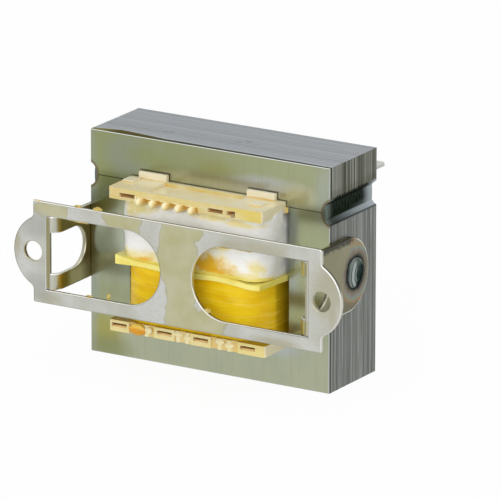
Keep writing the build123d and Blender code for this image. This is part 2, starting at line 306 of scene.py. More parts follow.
class Paint:
    """One material: a principled surface, and short ways to add the nodes that feed it."""

    def __init__(self, name, **constants):
        self.material = bpy.data.materials.new(name)
        self.material.use_nodes = True
        self.tree = self.material.node_tree
        self.surface = self.tree.nodes["Principled BSDF"]
        for socket, value in constants.items():
            self.surface.inputs[socket.replace("_", " ")].default_value = value
        metres = self.node("TexCoord", {}, "Object")
        facing = self.node("TexCoord", {}, "Normal")
        self.place = self.node("VectorMath", {0: metres, 3: 1 / MM}, operation="SCALE")
        self.x, self.y, self.z = self.axes(self.place)
        self.facing_x, self.facing_y, self.facing_z = self.axes(facing)

    def node(self, kind, inputs, output=0, **settings):
        return add_node(self.tree, kind, inputs, output, **settings)

    def axes(self, vector):
        return [self.node("SeparateXYZ", {0: vector}, axis) for axis in range(3)]

    def noise(self, size, detail=2.0, stretch=(1, 1, 1), shift=0.0):
        """Cloudy noise from 0 to 1, with features about so many millimetres wide."""
        scale = tuple(1 / (size * share) for share in stretch)
        moves = {0: self.place, 1: scale, 2: (shift,) * 3}
        moved = self.node("VectorMath", moves, operation="MULTIPLY_ADD")
        return self.node("TexNoise", {"Vector": moved, "Scale": 1.0, "Detail": detail}, "Fac")

    def distance(self, centre, radii):
        """Distance from a point in shares of the three radii."""
        moved = self.node("VectorMath", {0: self.place, 1: centre}, operation="SUBTRACT")
        shared = self.node("VectorMath", {0: moved, 1: radii}, operation="DIVIDE")
        return self.node("VectorMath", {0: shared}, "Value", operation="LENGTH")

    def patches(self, spots, wobble, soft):
        """Mask of ellipsoid spots, given as centre and radii, with uneven and soft borders."""
        total = 0.0
        for centre, radii in spots:
            share = (self.distance(centre, radii) + wobble).step(1 + soft, 1 - soft)
            total = share.largest(total)
        return total

    def face_patches(self, y, spots, wobble, soft):
        """Mask of ellipses on a face that looks along Y, given as centre and radii along X and Z."""
        deep = [((x, y, z), (reach_x, THROUGH, reach_z)) for (x, z), (reach_x, reach_z) in spots]
        return self.patches(deep, wobble, soft)

    def attribute(self, name):
        return self.node("Attribute", {}, "Fac", attribute_name=name)

    def crevice(self, reach):
        """1 deep in a recess, 0 on open faces."""
        return 1.0 - self.node("AmbientOcclusion", {"Distance": reach * MM}, "AO", samples=8)

    def feed(self, name, value):
        self.tree.links.new(value.socket, self.surface.inputs[name])

    def colour(self, value):
        self.feed("Base Color", value)

    def rough(self, value, first, second, start=0.0, end=1.0):
        """Roughness that goes from the first to the second as a value goes from start to end."""
        self.feed("Roughness", self.node("MapRange", {0: value, 1: start, 2: end, 3: first, 4: second}))

    def bump(self, height, strength, depth):
        """Bump from a height of 0 to 1 that is so many millimetres deep."""
        inputs = {"Strength": strength, "Distance": depth * MM, "Height": height}
        self.feed("Normal", self.node("Bump", inputs))


# Materials

def sheet_face(paint, cloud):
    """Flat of the sheets: olive varnish in clouds and stains, dark along the joint, with painted shadow
    beside the tape and a painted contact shadow with a varnish line round the moulding. Two pale patches
    are painted light against the shade and reflections of the tab and the block.
    """
    face = paint.x.blend(-22.0, 28.0, "90966f", "a0a582")
    face = face.covered("a8ad94", paint.z.step(-9.0, -21.0))
    face = face.covered("99a08c", cloud.step(0.45, 0.75), 0.35)
    wobble = (cloud - 0.5) * 1.6
    stains_and_painted_light = (
        ("949a5c", 0.40, (-29.5, 21.0), (3.0, 6.0)),
        ("a09c50", 0.85, (-29.0, -21.8), (3.8, 4.6)),
        ("868b62", 0.75, (-29.0, -26.0), (5.5, 2.8)),
        ("8d9489", 0.55, (-23.0, 22.5), (6.0, 4.0)),
        ("98a19f", 0.45, (-32.6, 0.0), (1.4, 30.0)),
        # painted light: paler where the tab's shade and reflection fall on the core
        ("bac1b4", 0.70, (-24.5, 1.0), (6.0, 9.0)),
        ("8f955c", 0.50, (-17.0, 22.8), (5.0, 2.0)),
        ("929258", 0.65, (1.5, 22.8), (4.8, 2.2)),
        ("c4c5b2", 0.75, (3.0, 19.2), (13.0, 1.6)),
        ("babec2", 0.75, (16.0, 20.2), (9.0, 1.9)),
        ("a4abb0", 0.60, (22.3, 12.0), (1.6, 4.5)),
        # painted light: paler where the block's reflection falls on the core
        ("c8c6a2", 0.70, (25.0, 18.9), (4.2, 2.4)),
        ("a6ada2", 0.70, (31.6, 21.0), (2.4, 7.0)),
        ("acb3b6", 0.75, (17.5, -18.4), (7.0, 2.0)),
        ("a2aaac", 0.60, (22.6, 0.0), (1.6, 5.0)),
        ("9a985c", 0.40, (25.5, -11.5), (2.6, 3.0)),
    )
    for digits, strength, *spot in stains_and_painted_light:
        face = face.covered(digits, paint.face_patches(CORE_FRONT, [spot], wobble, 0.75), strength)
    brushed = paint.noise(0.7, 3.0, (1, 1, 16), shift=2.0)
    face = face.covered("7f8468", brushed.step(0.45, 0.75), 0.12)
    face = face.covered("3f3d2a", paint.z.band(JOINT_LEVEL, 0.06, 0.12), 0.85)
    # painted shadow on the core in the gap beside the tape
    tape_shadow = paint.x.band(TAPE_SHADOW_LINE, 0.18, 0.12)
    face = face.covered("2a2718", tape_shadow, paint.z.band(-8.0, 7.0, 0.3))
    off_middle = abs(paint.x)
    from_block = (off_middle - BLOCK_HALVES[0]).largest(paint.z - BLOCK_TOP)
    beside_lug = abs(off_middle - LUG_PLACE) - LUG_HALF
    from_lug = beside_lug.largest(paint.z - bobbin_high.z)
    # painted contact shadow, with a varnish line, round the block and the lugs
    contact_shadow_and_varnish = from_block.smallest(from_lug).step(0.45, 0.2)
    return face.covered("4a4530", contact_shadow_and_varnish, paint.z.step(BLOCK_TOP - 0.6, BLOCK_TOP - 0.4), 0.75)


def sheet_edges(paint):
    """Cut edges: one grey a sheet, finely streaked, with dents on top and a dark line of painted shade in
    the gap behind the rim. The tops are painted lighter and the sides darker, as painted light and shade.
    """
    tone = paint.attribute("tone")
    fine = paint.noise(0.35, 2.0, (40, 1, 40), shift=5.0)
    # tops painted lighter than the sides, as painted light
    lit_top_edge = tone.mix("a9adb1", "b8bdc1")
    lit_top_edge = lit_top_edge.covered("a3a7ab", fine.step(0.35, 0.7), 0.5)
    dents = (((-16.3, 22.0), 0.4), ((-14.9, 22.8), 0.4), ((5.0, 24.8), 0.5), ((3.0, 23.5), 0.4))
    for (x, y), reach in dents:
        dent = paint.distance((x, y, CORE_TOP), (1.6 * reach, reach, 1.0)).step(1.2, 0.6)
        lit_top_edge = lit_top_edge.covered("6c6f70", dent, 0.6)
    high_side = tone.mix("55574a", "a0a39a")
    low_side = tone.mix("7f817e", "9c9f9b")
    # sides painted darker than the tops, as painted shade
    shaded_side_edge = paint.z.blend(JOINT_LEVEL + 0.5, JOINT_LEVEL - 0.5, high_side, low_side)
    shaded_side_edge = shaded_side_edge.covered("60625b", fine.step(0.4, 0.7), 0.6)
    # painted shade in the gap behind the front sheet
    shaded_side_edge = shaded_side_edge.covered("3e3f30", paint.y.band(CORE_FRONT + 0.6, 0.2, 0.12), 0.75)
    return abs(paint.facing_z).blend(0.4, 0.6, shaded_side_edge, lit_top_edge)


def varnish_run(paint, edge, cloud):
    """Varnish that has run back over the top's front edge, in a wedge at the left and then a thread."""
    widens = (paint.x + CORE_SIDE) * 0.2 + 0.9
    narrows = -0.2 - paint.x * 0.1
    thread = 0.92 - paint.x * 0.014
    run_width = widens.smallest(narrows.largest(thread))
    into_run = paint.y - (CORE_FRONT + SHEET_PITCH) - run_width
    into_run = into_run + (cloud - 0.5) * 0.6
    on_top = paint.facing_z.step(0.4, 0.6)
    run_tone = paint.x.blend(-31.0, -26.0, "8f8550", "5e551f")
    run_tone = run_tone.covered("55543f", paint.x.step(-20.0, -10.0))
    edge = edge.covered(run_tone, into_run.step(0.12, -0.12), on_top)
    return edge.covered("c3c8cb", into_run.band(0.45, 0.2, 0.2), on_top, 0.6)


def welded_groove(paint, whole, is_face):
    """Scorch in the groove at the joint, ragged above it, and a brown tint round it on the front sheet.
    Below the joint the groove's wall is painted lighter towards the rear as painted light from above, and
    the groove's ends carry painted highlights.
    """
    off_middle = abs(paint.x)
    side = off_middle - GROOVE_CENTRE
    high = paint.z - JOINT_LEVEL
    from_groove = (side * side + high * high).math("SQRT")
    above = high.step(-0.4, 0.4)
    cut_edge = 1.0 - is_face
    singed = from_groove.step(GROOVE_RADIUS + 3.0, GROOVE_RADIUS + 0.8)
    whole = whole.covered("4f4d3a", singed, cut_edge, above, 0.35)
    tint = from_groove.step(GROOVE_RADIUS + 0.9, GROOVE_RADIUS + 0.25)
    whole = whole.covered("75603f", is_face, tint, 0.8)
    # painted light: the lower wall lit from above, lighter towards the rear
    lit_lower_wall = paint.y.blend(17.0, 33.0, "454b48", "9aa3a7")
    scorch_and_painted_light = high.blend(-1.4, -2.2, "2a2d27", lit_lower_wall)
    # painted highlights at the groove's front and rear ends
    scorch_and_painted_light = scorch_and_painted_light.covered("6c746f", paint.y.step(CORE_FRONT + 2.6, CORE_FRONT + 0.2))
    scorch_and_painted_light = scorch_and_painted_light.covered("a9b1b5", paint.y.step(CORE_BACK - 5.0, CORE_BACK - 0.4))
    at_lip = off_middle.step(CORE_SIDE - 0.35, CORE_SIDE - 0.15)
    scorch_and_painted_light = scorch_and_painted_light.covered("3a3936", at_lip, high.step(-1.2, -1.8), 0.8)
    streaks = paint.noise(0.8, 3.0, (6, 0.5, 6)) * 2.6 - 0.55
    reach = above * 0.45 + 0.2
    ragged = from_groove - streaks * reach
    burnt = ragged.step(GROOVE_RADIUS + 0.2, GROOVE_RADIUS - 0.1) * cut_edge
    inside = from_groove.step(GROOVE_RADIUS + 0.12, GROOVE_RADIUS + 0.02)
    return whole.covered(scorch_and_painted_light, burnt.largest(inside))


def core_steel():
    """Varnished sheets: olive faces, grey cut edges painted lighter on top as painted light, and a front
    rim painted bright as a painted highlight, scorched at the seam welds.
    """
    paint = Paint("core_steel", Metallic=1.0, Specular_Tint=(0.5, 0.5, 0.5, 1.0))
    cloud = paint.noise(9, 3.0, (1.0, 1, 1.4))
    is_face = abs(paint.facing_y).step(0.4, 0.6)
    edge = varnish_run(paint, sheet_edges(paint), cloud)
    whole = is_face.mix(edge, sheet_face(paint, cloud))
    # painted highlight on the front sheet's rim, dimmer where it faces sideways
    rim_highlight_and_shade = abs(paint.facing_x).blend(0.3, 0.5, "e6eaed", "bcc1c4")
    whole = whole.covered(rim_highlight_and_shade, paint.attribute("rim"))
    paint.colour(welded_groove(paint, whole, is_face))
    paint.rough(is_face, 0.42, 0.21)
    paint.bump(paint.noise(1.1, 3.0), 0.15, 0.03)
    return paint.material


def strap_film(paint, silver):
    """Varnish film on the strap, which ends in waved tide lines, with thin and dull spots."""
    film_tone = paint.noise(6.0).blend(0.3, 0.7, "b6b38b", "bfbd9e")
    wide_waves = (paint.noise(7.0, 2.0) - 0.5) * 10.0
    short_waves = (paint.noise(2.2, 3.0) - 0.5) * 1.6
    film_boxes = (
        (0.9, 0.0, 5.2, 14.0),
        (4.7, -10.8, 9.0, 3.2),
        (-14.6, 10.8, 4.7, 3.2),
        (-36.0, 10.8, 5.4, 3.2),
    )
    field = THROUGH
    for x, z, half_x, half_z in film_boxes:
        across = abs(paint.x - x) - half_x
        along = abs(paint.z - z) - half_z
        field = across.largest(along).smallest(field)
    field = field + (wide_waves + short_waves)
    whole = field.blend(0.5, -0.5, silver, film_tone)
    whole = whole.covered("9c9672", abs(field).step(0.3, 0.05), 0.45)
    thin_spots = (
        ((-35.5, -10.9), (3.0, 1.4)),
        ((-44.6, 3.0), (1.2, 5.0)),
        ((42.6, -1.0), (1.5, 5.0)),
        ((27.0, -11.8), (6.0, 0.9)),
        ((16.0, 10.0), (4.0, 1.0)),
        ((42.0, 3.5), (5.5, 6.0)),
        ((41.0, -0.5), (3.4, 3.6)),
        ((22.5, 9.8), (7.0, 2.2)),
    )
    dull_spots = (((-39.0, 6.4), (4.5, 3.0)), ((-38.5, -8.5), (4.0, 3.0)))
    for digits, strength, spots in (("aca78c", 0.65, thin_spots), ("aaaba4", 0.7, dull_spots)):
        spot = paint.face_patches(0.0, spots, short_waves * 0.4, 0.6)
        whole = whole.covered(digits, spot, strength)
    return whole


def tab_faces(paint, whole, outward, at_right, is_outside):
    """Bends and pressed grooves at the tabs' roots, golden inner faces that darken towards the core as
    painted shade, and olive outer faces.
    """
    from_middle = abs(paint.x)
    height = abs(paint.z)
    not_out = outward.step(0.3, 0.1)
    within_tab = height.step(TAB_HALF + 0.2, TAB_HALF)
    is_bend = from_middle.step(BEND_LINE + 0.05, BEND_LINE - 0.05)
    past_core = from_middle.step(CORE_SIDE - 0.6, CORE_SIDE - 0.4)
    on_leg = height.step(OPENING_HALF, OPENING_HALF + 0.4)
    bend_tone = at_right.mix("b9baab", "b3a85c")
    whole = whole.covered(bend_tone, is_bend, past_core, within_tab, on_leg, not_out)
    score = from_middle.band(BEND_LINE - SCORE_WIDTH / 2, 0.2, 0.2)
    right_score = from_middle.blend(BEND_LINE - 0.5, BEND_LINE - 0.35, "8a8452", "c0c0b6")
    score_tone = at_right.mix("8f8654", right_score)
    whole = whole.covered(score_tone, score, within_tab, not_out, 0.9)
    # varnish on the inner faces, darker towards the core as painted shade
    inner_varnish_and_shade = paint.y.blend(8.5, 13.5, "93854c", "7d6a34")
    low_tone = paint.y.blend(4.0, 7.0, "af9b52", "e6dfc4")
    low_tone = low_tone.covered("a89a70", paint.y.step(10.0, 14.0))
    inner_varnish_and_shade = inner_varnish_and_shade.covered(low_tone, paint.z.step(-3.0, -6.0))
    whole = whole.covered(inner_varnish_and_shade, outward.step(-0.7, -0.88))
    tab_tone = paint.y.blend(22.0, 14.0, "8c8a70", "868368")
    tab_tone = tab_tone.covered("716b55", paint.z.step(-2.0, -8.0))
    return whole.covered(tab_tone, is_outside)


def weld_heat(paint, whole, is_outside):
    """Heat round the plug weld: rings that darken to its rim, arcs of temper colours and a scald."""
    beside = paint.y - PLUG_Y
    squares = beside * beside + paint.z * paint.z
    bumpy = (paint.noise(2.6) - 0.5) * 1.6
    from_weld = squares.math("SQRT") + bumpy
    heat_rings = (
        (5.8, 2.4, 0.35, "8c7758"),
        (5.4, 1.4, 0.55, "7d8377"),
        (4.6, 1.4, 0.70, "5f5443"),
        (4.0, 0.8, 1.00, "22231f"),
    )
    for reach, soft, strength, digits in heat_rings:
        whole = whole.covered(digits, from_weld.step(reach + soft, reach), is_outside, strength)
    above_weld = paint.z.step(2.4, 4.4) * paint.y.step(21.0, 23.6)
    below_weld = paint.z.step(-2.4, -4.4) * paint.y.step(19.0, 21.6)
    tempered = above_weld.largest(below_weld) * is_outside
    for reach, digits in ((5.5, "857268"), (6.0, "76888f"), (6.5, "84967c"), (7.0, "a17e5c")):
        whole = whole.covered(digits, from_weld.band(reach, 0.15, 0.3), tempered, 0.55)
    scald = paint.distance((CORE_SIDE, 23.2, 8.5), (THROUGH, 2.0, 1.0)).step(1.2, 0.4)
    return whole.covered("8d6a48", scald, is_outside, 0.8)


def strap_walls(paint, whole, outward, at_right, behind):
    """Cut walls and rolled rims: a bright line along the strap's top, dark walls where they look away.
    Walls and rims are painted by the way they face, as painted light and shade, and the bright line is a
    painted highlight kept matte so that it stays bright.
    """
    height = abs(paint.z)
    upward = paint.facing_z.step(0.1, 0.5)
    rightward = paint.facing_x.step(-0.3, 0.3)
    forward = paint.facing_y.step(0.05, -0.15)
    from_hole = abs(abs(paint.x) - HOLE_PLACE)
    in_hole = from_hole.step(HOLE_HALF + 0.2, HOLE_HALF) * height.step(HOLE_HALF + 0.2, HOLE_HALF)
    ear_top = paint.x.step(BEND_LINE + 0.5, BEND_LINE + 1.0) * at_right
    # painted light and shade: walls toned by the way they face
    wall_light_and_shade = rightward.mix("66634c", "c4c4ba")
    wall_light_and_shade = wall_light_and_shade.covered(ear_top.mix("6f6c52", "3c3928"), upward)
    tab_wall_light_and_shade = upward.mix("a49f86", at_right.mix("b4b09c", "4c4733"))
    wall_light_and_shade = wall_light_and_shade.covered(tab_wall_light_and_shade, behind)
    wall_light_and_shade = wall_light_and_shade.covered("8f8b70", in_hole)
    whole = whole.covered(wall_light_and_shade, paint.attribute("wall"), 0.85)
    # painted highlight on rims facing up and right, painted shade on rims facing left
    front_rim_light_and_shade = rightward.mix("5a5743", "dcdcd4")
    for digits, share in (("fafaf8", upward), ("b4b197", in_hole), ("b2ae98", behind)):
        front_rim_light_and_shade = front_rim_light_and_shade.covered(digits, share)
    rim_highlight_and_shade = forward.mix(wall_light_and_shade, front_rim_light_and_shade)
    past_opening = height.step(OPENING_HALF + 0.4, OPENING_HALF + 1.2).largest(paint.y.step(15.0, 17.0))
    tab_edge = behind * outward.step(0.15, 0.4) * past_opening
    # painted highlight along the tab's outer edge
    rim_highlight_and_shade = rim_highlight_and_shade.covered("eeeee8", tab_edge, paint.z.step(8.5, 7.5))
    rim = paint.attribute("rim") * 0.85
    # painted highlight: the line along the strap's top is made less metallic so it shows bright
    painted_highlight_line = rim * upward * forward * (1.0 - behind)
    paint.feed("Metallic", 1.0 - painted_highlight_line * 0.9)
    return whole.covered(rim_highlight_and_shade, rim)


def bracket_steel():
    """Tinned strap under a varnish film, with heat tints and soot on the tabs."""
    paint = Paint("bracket_steel", Metallic=1.0)
    grain = paint.noise(0.9, 4.0, (1.6, 1, 1))
    silver = paint.noise(11.0, 2.0).blend(0.35, 0.65, "bcbcb1", "cbccc7")
    silver = silver.covered("b1b2ab", grain.step(0.4, 0.75), 0.35)
    outward = paint.facing_x * paint.x.math("SIGN")
    at_right = paint.x.step(-1.0, 1.0)
    behind = paint.y.step(STRAP_THICK + 0.6, STRAP_THICK + 1.8)
    is_outside = outward.step(0.5, 0.8) * behind
    whole = tab_faces(paint, strap_film(paint, silver), outward, at_right, is_outside)
    whole = weld_heat(paint, whole, is_outside)
    whole = strap_walls(paint, whole, outward, at_right, behind)
    sooty = (paint.z + paint.noise(0.9, 3.0) * 2.4).step(8.4, 9.5)
    on_tab = outward.step(-0.2, 0.2) * behind * paint.y.step(25.0, 22.0)
    paint.colour(whole.covered("33322a", sooty, on_tab, 0.9))
    paint.rough(grain, 0.3, 0.42, 0.3, 0.7)
    paint.bump(paint.noise(0.7, 4.0), 0.18, 0.04)
    return paint.material


def pooled_cream(paint, cloud, frontal):
    """Cream of the moulding, golden where varnish has pooled in its corners, pale on its ends and tops."""
    whole = cloud.blend(0.35, 0.68, "e9dfb6", "e2ca80")
    upright = abs(paint.facing_z).step(0.5, 0.3)
    whole = whole.covered("dcc97e", upright, cloud.step(0.25, 0.55), 0.85)
    whole = whole.covered("e4cb58", frontal, paint.x.step(9.0, 18.0), 0.7)
    left_pool = paint.distance((-19.5, 6.5, 17.5), (5.0, 5.0, 4.0)).step(1.2, 0.4)
    whole = whole.covered("dcbc58", left_pool, 0.6)
    whole = whole.covered("ece3c6", abs(paint.z).step(BLOCK_TOP + 0.1, BLOCK_TOP + 0.25))
    pool = paint.crevice(1.1) + (cloud - 0.5) * 0.6
    not_up = 1.0 - paint.facing_z.step(0.3, 0.7) * 0.6
    whole = whole.covered("dcb04a", pool.step(0.35, 0.7), not_up)
    whole = whole.covered("a06a22", pool.step(0.75, 1.0), not_up)
    whole = whole.covered("fff6d6", abs(paint.facing_x).step(0.6, 0.8), 0.8)
    return whole.covered("ede4c6", paint.facing_z.step(0.6, 0.8), 0.5)


def finger_row(paint, whole):
    """Wire fingers, each cream at the left as painted light and amber at the right as varnish with painted
    shade, in an amber recess.
    """
    in_row = abs(paint.x - FINGER_ROW).step(9.2, 8.9)
    above_floor = in_row * paint.z.step(13.0, 13.4)
    wave = ((paint.x - FINGER_ROW) * (2 * pi / FINGER_PITCH)).math("COSINE")
    in_recess = paint.z.step(16.4, 16.0) * paint.y.band(5.0, 0.5, 0.2)
    whole = whole.covered("e0b24c", above_floor, in_recess, wave.step(0.3, -0.5))
    on_finger = paint.z.step(16.5, 16.2) * paint.y.step(5.15, 5.05)
    from_first = paint.x - (FINGER_ROW - 2.5 * FINGER_PITCH)
    along_finger = (from_first * (1 / FINGER_PITCH)).math("FRACT")
    # painted light at each finger's left, and painted shade with varnish at its right
    finger_light_and_shade = along_finger.blend(0.5, 0.82, "f8efc0", "e0b54e")
    return whole.covered(finger_light_and_shade, above_floor, on_finger, 0.9)


def knob_rows(paint, whole, is_low):
    """Pale crowns of the wire knobs as painted highlights, and amber varnish with painted shade beside
    them, on the blocks that have knobs.
    """
    rear = paint.y.step(20.0, 30.0)
    turned = paint.x * (1.0 - rear * 2.0)
    upright = abs(paint.facing_z).step(0.6, 0.4)
    on_block = abs(paint.z).step(14.8, 15.0)
    knobbed = is_low.largest(rear) * upright * on_block
    for middle, half in KNOB_GAPS:
        off = abs(turned - middle)
        within = off.step(half + 0.05, half - 0.1) * knobbed
        beside = abs(off - KNOB_STEP)
        # amber varnish with painted shade beside the knobs
        whole = whole.covered("d8a640", within, beside.step(0.35, 1.0), 0.45)
        # painted highlight on each knob's crown
        whole = whole.covered("f6ebc6", within, beside.step(0.6, 0.2), 0.5)
    return whole


def slot_hollows(paint, whole, cloud, is_low):
    """Light amber inside the terminal slots: varnish painted pale, as painted light against the shade deep
    in the hollows.
    """
    front_face = is_low * (FRONT_LOW_FACE - FRONT_TOP_FACE) + FRONT_TOP_FACE
    into_front = (paint.y - front_face).step(0.55, 0.75)
    into_rear = paint.y.step(REAR_FACE - 0.55, REAR_FACE - 0.75)
    outside_core = paint.y.step(11.5, 11.0) + paint.y.step(40.0, 40.5)
    within_end = abs(paint.x).step(20.95, 20.85)
    inside = into_front * into_rear * outside_core * within_end
    for level in SLOT_LEVELS:
        at_level = paint.z.band(level, 0.44, 0.1)
        # varnish painted pale as painted light against the slots' shade
        whole = whole.covered(cloud.mix("eeb668", "ffdc9c"), at_level, inside)
    return whole


def bobbin_nylon():
    """Cream moulding with pooled varnish, a gold floor of varnish with painted shade under the lower coil,
    and a lemon middle flange. The lower block's front is painted lighter as painted light against the
    shade of the bracket.
    """
    paint = Paint("bobbin_nylon", Roughness=0.3, Coat_Weight=0.35, Coat_Roughness=0.12)
    cloud = paint.noise(3.2, 3.0, (1.8, 1, 1))
    frontal = paint.facing_y.step(-0.5, -0.8)
    is_low = paint.z.step(0.1, -0.1)
    whole = finger_row(paint, pooled_cream(paint, cloud, frontal))
    # painted light: the lower block's front lightened against the bracket's shade
    whole = whole.covered("f0e19c", is_low, frontal, 0.6)
    whole = knob_rows(paint, whole, is_low)
    whole = slot_hollows(paint, whole, cloud, is_low)
    block_floor = paint.z.band(tape_low.z, 0.3, 0.3)
    # varnish on the floor under the lower coil, darkened with painted shade
    whole = whole.covered("a07e24", block_floor, paint.facing_z.step(0.5, 0.8))
    half_thick = (FLANGE_HIGH - FLANGE_LOW) / 2
    on_flange = paint.z.band(FLANGE_LOW + half_thick, half_thick + 1.2, 0.3)
    lemon = cloud.blend(0.4, 0.75, "fbf088", "f0de60")
    paint.colour(whole.covered(lemon, on_flange))
    paint.bump(paint.noise(1.5, 3.0), 0.5, 0.2)
    return paint.material


def white_wrap():
    """Fibrous white paper with amber varnish stains."""
    paint = Paint("white_wrap")
    fibre = paint.noise(0.9, 4.0, (2.2, 2.2, 0.7))
    whole = fibre.blend(0.25, 0.75, "f4f4f0", "fcfcfa")
    wobble = (paint.noise(2.2, 4.0) - 0.5) * 2.0
    front = paper_low.y
    pale_stains = (
        ((-14.0, front, 13.6), (4.0, 9.0, 2.0)),
        ((-16.0, front, 12.0), (1.3, 4.0, 1.0)),
        ((-14.5, front, 1.2), (7.0, 9.0, 1.7)),
        ((6.0, front, 13.9), (5.0, 4.0, 0.8)),
        ((14.5, front, 13.4), (5.0, 9.0, 0.7)),
        ((7.0, front, 7.2), (5.0, 4.0, 1.2)),
        ((6.0, front, 2.4), (6.0, 4.0, 3.4)),
        ((13.0, front, 0.8), (9.0, 4.0, 1.3)),
        ((18.4, front, 3.2), (1.8, 5.0, 1.4)),
    )
    pale = paint.patches(pale_stains, wobble, 0.7)
    whole = whole.covered("f2df7c", pale, 0.75)
    deep_stains = (
        ((5.8, front, 2.0), (5.0, 4.0, 2.3)),
        ((-12.0, front, 0.6), (2.2, 6.0, 0.7)),
        ((10.8, front, 0.3), (3.0, 4.0, 0.5)),
    )
    deep = paint.patches(deep_stains, wobble, 0.7)
    whole = whole.covered("ebb41c", deep, 0.95)
    foot = paint.z - (wobble * 0.5 + paper_low.z)
    at_front = paint.y.step(12.0, 10.0)
    paint.colour(whole.covered("efe07a", foot.step(1.1, 0.6), at_front))
    paint.rough(pale.largest(deep), 0.65, 0.2)
    paint.bump(fibre, 0.4, 0.1)
    return paint.material


def yellow_tape():
    """Glossy polyester tape, golden, with a painted highlight line where each turn ends and painted shade
    where it faces right.
    """
    coat = {"Coat_Weight": 0.06, "Coat_Roughness": 0.1}
    paint = Paint("yellow_tape", Roughness=0.32, Specular_IOR_Level=0.15, **coat)
    cloud = paint.noise(4.0, 3.0, (2, 2, 0.5))
    whole = cloud.blend(0.35, 0.7, "f8d31e", "eec010")
    streak = paint.noise(1.2, 3.0, (7, 7, 0.5), shift=4.0)
    whole = whole.covered("f8e060", streak.step(0.55, 0.75), 0.4)
    height = tape_high.z - tape_low.z
    level = paint.node("MapRange", {0: paint.z, 1: tape_low.z, 2: tape_high.z}, clamp=False)
    slant = (paint.x * TAPE_WAVE[0] + paint.y * TAPE_WAVE[1]).math("SINE")
    level = level + slant * TAPE_SLANT
    # painted highlight line where each turn of tape ends
    for share in TAPE_EDGES:
        line = level.band(share, 0.08 / height, 0.12 / height)
        whole = whole.covered("f8e98c", line, 0.14)
    # painted shade on the tape where it faces right
    painted_shade_side = paint.facing_x.step(0.96, 0.998)
    paint.colour(whole.covered("80600c", painted_shade_side, 0.5))
    paint.bump(paint.noise(1.4, 2.0, (4, 4, 0.5)), 0.3, 0.1)
    return paint.material


def weld_metal():
    """Dark oxidised weld, blue-grey and glossy. The seam is painted lighter below the joint towards the
    rear and at its ends, and the plug lighter on top with bright crescents and a bright rim, all painted
    reflections and highlights; the plug's dark ring is oxide with painted shade in the undercut.
    """
    paint = Paint("weld_metal", Metallic=1.0, Roughness=0.24, Specular_Tint=(0.3, 0.3, 0.3, 1.0))
    cloud = paint.noise(1.5, 3.0, (1, 0.6, 1))
    seam_with_painted_light = cloud.blend(0.3, 0.7, "2a2e29", "353b37")
    below = paint.z.step(JOINT_LEVEL - 0.3, JOINT_LEVEL - 1.6)
    # painted reflection: the seam lighter below the joint towards the rear
    seam_with_painted_light = seam_with_painted_light.covered(paint.y.blend(24.0, 36.0, "30362f", "5c6462"), below)
    # painted highlights at the seam's front and rear ends
    seam_with_painted_light = seam_with_painted_light.covered("6c766f", paint.y.step(CORE_FRONT + 3.6, CORE_FRONT + 0.2))
    seam_with_painted_light = seam_with_painted_light.covered("a4adb0", paint.y.step(CORE_BACK - 5.0, CORE_BACK - 0.4))
    along = paint.y - PLUG_Y
    plug_with_painted_light = cloud.blend(0.3, 0.7, "333c3a", "4c5654")
    # painted light on the plug's top, then painted highlights in crescents at its left and a rim at its
    # right
    plug_with_painted_light = plug_with_painted_light.covered("76807a", paint.z.step(1.0, 2.6), 0.6)
    from_right = paint.distance((TAB_FACE, PLUG_Y + 1.3, -0.3), (THROUGH, 1.0, 1.0))
    from_plug = paint.distance((TAB_FACE, PLUG_Y, 0.0), (THROUGH, 1.0, 1.0))
    at_left = along.step(0.3, -0.9)
    for reach, width, digits in ((2.2, 0.15, "87918d"), (3.2, 0.30, "a3aca9"), (4.2, 0.15, "7a827e")):
        plug_with_painted_light = plug_with_painted_light.covered(digits, from_right.band(reach, width, 0.3), at_left)
    plug_with_painted_light = plug_with_painted_light.covered("a4acab", from_plug.band(3.35, 0.12, 0.2), along.step(1.2, 2.2))
    # dark ring: oxide with painted shade in the undercut round the plug
    plug_with_painted_light = plug_with_painted_light.covered("1c1d1a", from_plug.step(3.6, 3.8))
    is_plug = abs(paint.z).step(6.0, 5.0)
    paint.colour(is_plug.mix(seam_with_painted_light, plug_with_painted_light))
    paint.bump(paint.noise(0.5, 3.0), 0.15, 0.05)
    return paint.material


def tinned_brass():
    """Bright tinned terminal with faint rolling lines."""
    paint = Paint("tinned_brass", Metallic=0.9)
    grain = paint.noise(0.6, 3.0, (1, 8, 1))
    paint.colour(grain.mix("adaeaa", "c8c9c5"))
    paint.rough(grain, 0.22, 0.4)
    paint.bump(grain, 0.15, 0.03)
    return paint.material


def copper_wire():
    """Enamelled wire, one turn beside the next."""
    paint = Paint("copper_wire", Metallic=0.7, Roughness=0.3, Coat_Weight=0.5)
    turn = (paint.z * (2 * pi / WIRE_PITCH)).math("SINE")
    # darker between turns: painted shade in the grooves between the wires
    paint.colour(turn.blend(-1.0, 0.6, "6e3413", "c06a30"))
    paint.bump(turn, 0.6, 0.1)
    return paint.material


def cured_varnish():
    """Amber varnish in drops and crumbs."""
    paint = Paint("cured_varnish", Roughness=0.14, Specular_IOR_Level=0.3)
    cloud = paint.noise(1.2, 2.0)
    whole = cloud.blend(0.35, 0.7, "cdb868", "b69c4a")
    tone = paint.attribute("tone")
    amber = paint.z.blend(-15.6, -16.6, "f4d05a", "de9a20")
    whole = whole.covered("f3e6b4", tone.step(0.2, 0.4))
    paint.colour(whole.covered(amber, tone.step(0.5, 1.0)))
    paint.bump(cloud, 0.2, 0.08)
    return paint.material


# Pieces

